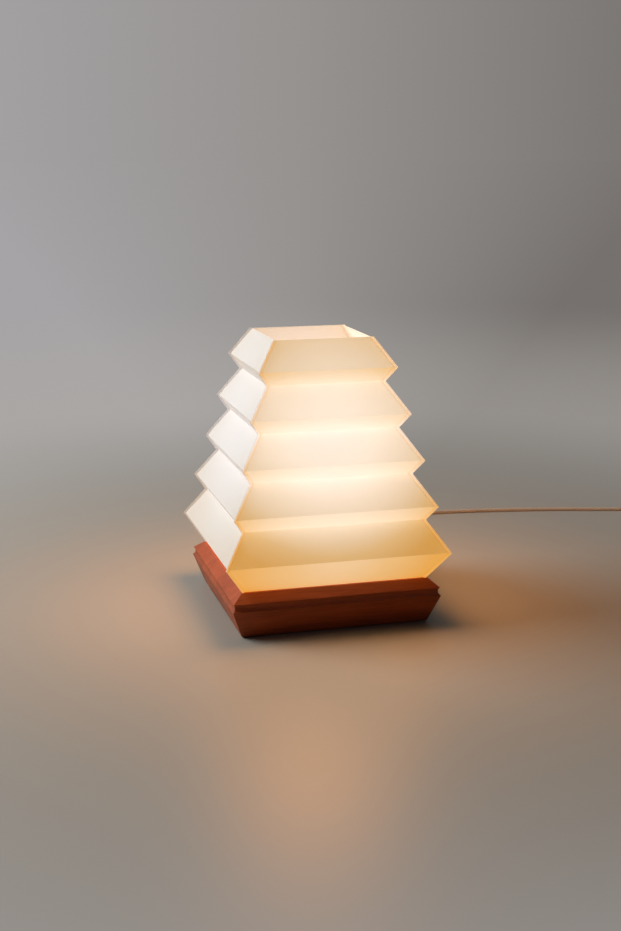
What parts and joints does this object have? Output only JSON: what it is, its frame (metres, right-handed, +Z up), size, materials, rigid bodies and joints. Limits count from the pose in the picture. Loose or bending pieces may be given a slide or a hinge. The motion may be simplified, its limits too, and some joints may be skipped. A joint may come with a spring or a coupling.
{
  "type": "table lamp",
  "caption": "Table lamp with a square, tapering shade of accordion-pleated paper on a square base of mitred wooden moulding, with an inline rocker switch and a two-pin plug on its lead.",
  "frame": {"origin": "middle of the base on the table", "axes": "+Z up, the upright axis of the lamp; -Y the front of the picture; the mains lead leaves at +Y"},
  "size_m": [0.7495, 0.448, 0.3065],
  "materials": {
    "wood_stained": "reddish brown stain, satin",
    "wood_plain": "bare plywood",
    "felt": "dark felt",
    "zinc_steel": "zinc plated",
    "threaded_tube": "plated thread",
    "stem_finish": "brown paint",
    "holder_plastic": "moulded, matt",
    "steatite": "unglazed",
    "contact_brass": "plain",
    "bulb_metal": "plated",
    "bulb_black_glass": "dark glass",
    "bulb_housing": "white housing",
    "bulb_opal": "opal, lit",
    "shade_paper": "pleated, fibrous, lit from inside",
    "lead_jacket": "pale smooth jacket",
    "core_brown": "insulation",
    "core_blue": "insulation",
    "clamp_plastic": "moulded",
    "switch_plastic": "moulded, satin",
    "rocker_plastic": "moulded, glossy",
    "tie_plastic": "coated tie"
  },
  "bodies": {
    "lamp": {"base_rail_right": "wood_stained", "base_rail_back": "wood_stained", "base_rail_left": "wood_stained", "base_rail_front": "wood_stained", "base_top_board": "wood_plain", "corner_block_1": "wood_plain", "corner_block_2": "wood_plain", "corner_block_3": "wood_plain", "corner_block_4": "wood_plain", "base_bottom_board": "wood_plain", "foot_1": "felt", "foot_2": "felt", "foot_3": "felt", "foot_4": "felt", "bottom_screws": "zinc_steel", "stem_washer": "zinc_steel", "stem_nut": "zinc_steel", "clamp_screws": "zinc_steel", "switch_screws": "zinc_steel", "stem_nipple": "threaded_tube", "stem_tube": "stem_finish", "holder_cap": "holder_plastic", "holder_body": "holder_plastic", "holder_insert": "steatite", "holder_screw_shell": "contact_brass", "holder_contact": "contact_brass", "plug_pins": "contact_brass", "lead_inner": "lead_jacket", "lead_to_switch": "lead_jacket", "lead_to_coil": "lead_jacket", "lead_to_plug": "lead_jacket", "lead_coil": "lead_jacket", "strain_relief": "lead_jacket", "core_live": "core_brown", "core_neutral": "core_blue", "clamp_block": "clamp_plastic", "clamp_bar": "clamp_plastic", "switch_lower": "switch_plastic", "switch_upper": "switch_plastic", "plug_body": "switch_plastic", "lead_tie": "tie_plastic"},
    "shade": {"shade_right": "shade_paper", "shade_back": "shade_paper", "shade_left": "shade_paper", "shade_front": "shade_paper"},
    "bulb_thread": {"bulb_tip": "bulb_metal"},
    "bulb": {"bulb_insulator": "bulb_black_glass", "bulb_screw_cap": "bulb_metal", "bulb_neck": "bulb_housing", "bulb_globe": "bulb_opal"},
    "rocker": {"switch_rocker": "rocker_plastic"}
  },
  "joints": [
    {"name": "shade_lift", "type": "slide", "parent": "lamp", "child": "shade", "axis": [0, 0, 1], "range_m": [0, 0.17]},
    {"name": "bulb_rise", "type": "slide", "parent": "lamp", "child": "bulb_thread", "axis": [0, 0, 1], "range_m": [0, 0.0218]},
    {"name": "bulb_turn", "type": "hinge", "parent": "bulb_thread", "child": "bulb", "pos_m": [0, 0, 0.12], "axis": [0, 0, 1], "range_deg": [0, 2160]},
    {"name": "switch_rock", "type": "hinge", "parent": "lamp", "child": "rocker", "pos_m": [0.083, 0.2752, 0.011], "axis": [0.5045, -0.8634, 0], "range_deg": [0, 14]}
  ],
  "couplings": [
    {"joint": "bulb_rise", "follows": "bulb_turn", "m_per_rad": 0.00057614}
  ]
}
